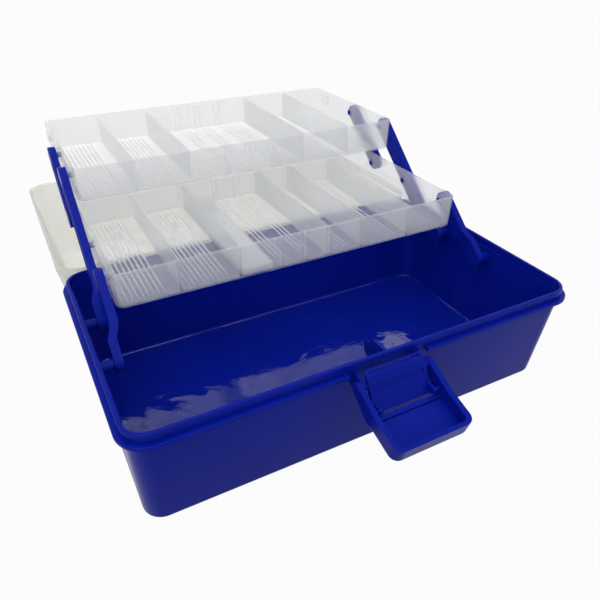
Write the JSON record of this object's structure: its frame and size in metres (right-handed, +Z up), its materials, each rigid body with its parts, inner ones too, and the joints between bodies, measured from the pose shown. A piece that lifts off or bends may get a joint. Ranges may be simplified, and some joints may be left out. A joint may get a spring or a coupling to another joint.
{
  "type": "tackle box",
  "caption": "Open cantilever tackle box: blue tub, deep translucent lid laid back, stepped trays on swinging arms and a draw latch.",
  "frame": {"origin": "middle of the underside of the base tub", "axes": "+Z up, -Y towards the latch at the front, +X towards the right-hand end"},
  "size_m": [0.357, 0.478, 0.1652],
  "materials": {
    "blue_plastic": "glossy injection-moulded polypropylene",
    "tray_plastic": "frosted natural polypropylene, translucent",
    "lid_plastic": "natural polypropylene, translucent, slightly warm",
    "pin_steel": "plain drawn wire"
  },
  "bodies": {
    "tub": {"base": "blue_plastic", "hinge_pin_left": "pin_steel", "hinge_pin_right": "pin_steel"},
    "lid": {"lid": "lid_plastic"},
    "handle": {"lid_handle": "lid_plastic"},
    "long_arm_left": {"long_arm_left": "blue_plastic"},
    "long_arm_right": {"long_arm_right": "blue_plastic"},
    "front_arm_left": {"front_arm_left": "blue_plastic"},
    "front_arm_right": {"front_arm_right": "blue_plastic"},
    "lower_tray": {"lower_tray": "tray_plastic", "tray_divider": "tray_plastic", "spare_divider_1": "tray_plastic", "spare_divider_2": "tray_plastic", "spare_divider_3": "tray_plastic"},
    "upper_tray": {"upper_tray": "tray_plastic"},
    "rear_arm_left": {"rear_arm_left": "blue_plastic"},
    "rear_arm_right": {"rear_arm_right": "blue_plastic"},
    "lever": {"latch_lever": "blue_plastic"},
    "clasp": {"latch_clasp": "blue_plastic"}
  },
  "joints": [
    {"name": "lid_hinge", "type": "hinge", "parent": "tub", "child": "lid", "pos_m": [0, 0.1076, 0.0825], "axis": [1, 0, 0], "range_deg": [0, 180]},
    {"name": "handle_fold", "type": "hinge", "parent": "lid", "child": "handle", "pos_m": [0, 0.2102, 0.0035], "axis": [-1, 0, 0], "range_deg": [0, 90]},
    {"name": "long_arm_left_pivot", "type": "hinge", "parent": "tub", "child": "long_arm_left", "pos_m": [-0.163, 0.0417, 0.0729], "axis": [1, 0, 0], "range_deg": [0, 109]},
    {"name": "long_arm_right_pivot", "type": "hinge", "parent": "tub", "child": "long_arm_right", "pos_m": [0.163, 0.0417, 0.0729], "axis": [1, 0, 0], "range_deg": [0, 109]},
    {"name": "front_arm_left_pivot", "type": "hinge", "parent": "tub", "child": "front_arm_left", "pos_m": [-0.163, -0.0133, 0.0729], "axis": [1, 0, 0], "range_deg": [0, 109]},
    {"name": "front_arm_right_pivot", "type": "hinge", "parent": "tub", "child": "front_arm_right", "pos_m": [0.163, -0.0133, 0.0729], "axis": [1, 0, 0], "range_deg": [0, 109]},
    {"name": "lower_tray_pivot", "type": "hinge", "parent": "long_arm_left", "child": "lower_tray", "pos_m": [-0.15, 0.08887, 0.1139], "axis": [1, 0, 0], "range_deg": [-109, 0]},
    {"name": "upper_tray_pivot", "type": "hinge", "parent": "long_arm_left", "child": "upper_tray", "pos_m": [-0.15, 0.13604, 0.15491], "axis": [1, 0, 0], "range_deg": [-109, 0]},
    {"name": "rear_arm_left_pivot", "type": "hinge", "parent": "lower_tray", "child": "rear_arm_left", "pos_m": [-0.15, 0.14387, 0.1139], "axis": [1, 0, 0], "range_deg": [0, 109]},
    {"name": "rear_arm_right_pivot", "type": "hinge", "parent": "lower_tray", "child": "rear_arm_right", "pos_m": [0.15, 0.14387, 0.1139], "axis": [1, 0, 0], "range_deg": [0, 109]},
    {"name": "latch_swing", "type": "hinge", "parent": "tub", "child": "lever", "pos_m": [0, -0.11, 0.0736], "axis": [1, 0, 0], "range_deg": [0, 72]},
    {"name": "clasp_swing", "type": "hinge", "parent": "lever", "child": "clasp", "pos_m": [0, -0.12593, 0.06383], "axis": [1, 0, 0], "range_deg": [-25.4, 0]}
  ],
  "couplings": [
    {"joint": "long_arm_left_pivot", "follows": "lid_hinge", "ratio": 0.6055},
    {"joint": "long_arm_right_pivot", "follows": "lid_hinge", "ratio": 0.6055},
    {"joint": "front_arm_left_pivot", "follows": "lid_hinge", "ratio": 0.6055},
    {"joint": "front_arm_right_pivot", "follows": "lid_hinge", "ratio": 0.6055},
    {"joint": "lower_tray_pivot", "follows": "lid_hinge", "ratio": -0.6055},
    {"joint": "upper_tray_pivot", "follows": "lid_hinge", "ratio": -0.6055},
    {"joint": "rear_arm_left_pivot", "follows": "lid_hinge", "ratio": 0.6055},
    {"joint": "rear_arm_right_pivot", "follows": "lid_hinge", "ratio": 0.6055},
    {"joint": "clasp_swing", "follows": "latch_swing", "ratio": -0.3514}
  ]
}
